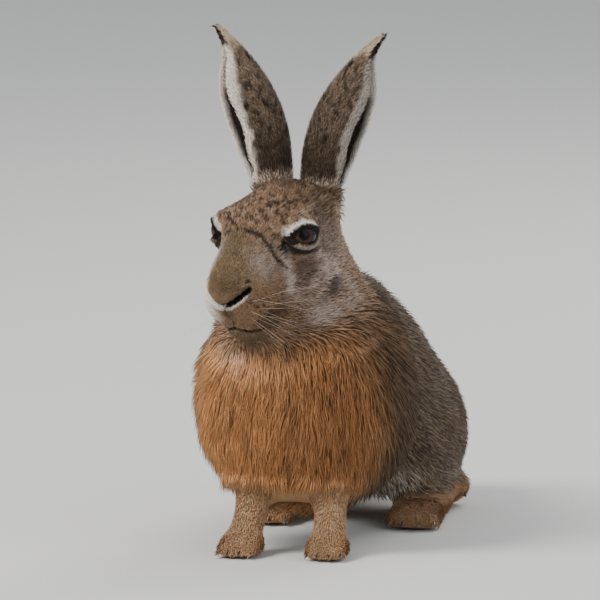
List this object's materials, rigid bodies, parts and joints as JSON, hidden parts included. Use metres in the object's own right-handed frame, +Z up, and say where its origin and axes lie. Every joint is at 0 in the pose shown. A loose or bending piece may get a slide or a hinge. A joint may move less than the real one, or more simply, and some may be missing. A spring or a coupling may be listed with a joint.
{
  "type": "brown hare model",
  "caption": "Life-size still model of a brown hare, crouched and alert, with tall black-tipped ears, a fluffed tawny chest and long hind feet.",
  "frame": {"origin": "on the ground under the middle of the whole animal", "axes": "the nose points towards -Y, the hare's left is +X and +Z is up"},
  "size_m": [0.136, 0.369, 0.321],
  "materials": {
    "fur_head": "short dense fur, grey-brown flecked with black, white rings round the eyes",
    "fur_grey": "grey-brown fur with dark flecks",
    "fur_tawny": "soft orange-tawny fur with paler tips and dark streaks",
    "fur_ear": "short brown fur, white along the outer edge, black at the tip",
    "fur_leg": "short tawny fur",
    "fur_tail": "fur, black above and white below",
    "eye": "clear, wet-looking brown eye with a black pupil"
  },
  "bodies": {
    "root": {"chest": "fur_tawny", "ear_left": "fur_ear", "ear_right": "fur_ear", "eye_left": "eye", "eye_right": "eye", "foreleg_left": "fur_leg", "foreleg_right": "fur_leg", "forepaw_left": "fur_leg", "forepaw_right": "fur_leg", "haunch_left": "fur_grey", "haunch_right": "fur_grey", "head": "fur_head", "hind_foot_left": "fur_leg", "hind_foot_right": "fur_leg", "neck": "fur_grey", "rump": "fur_grey", "tail": "fur_tail", "torso": "fur_grey"}
  },
  "joints": []
}
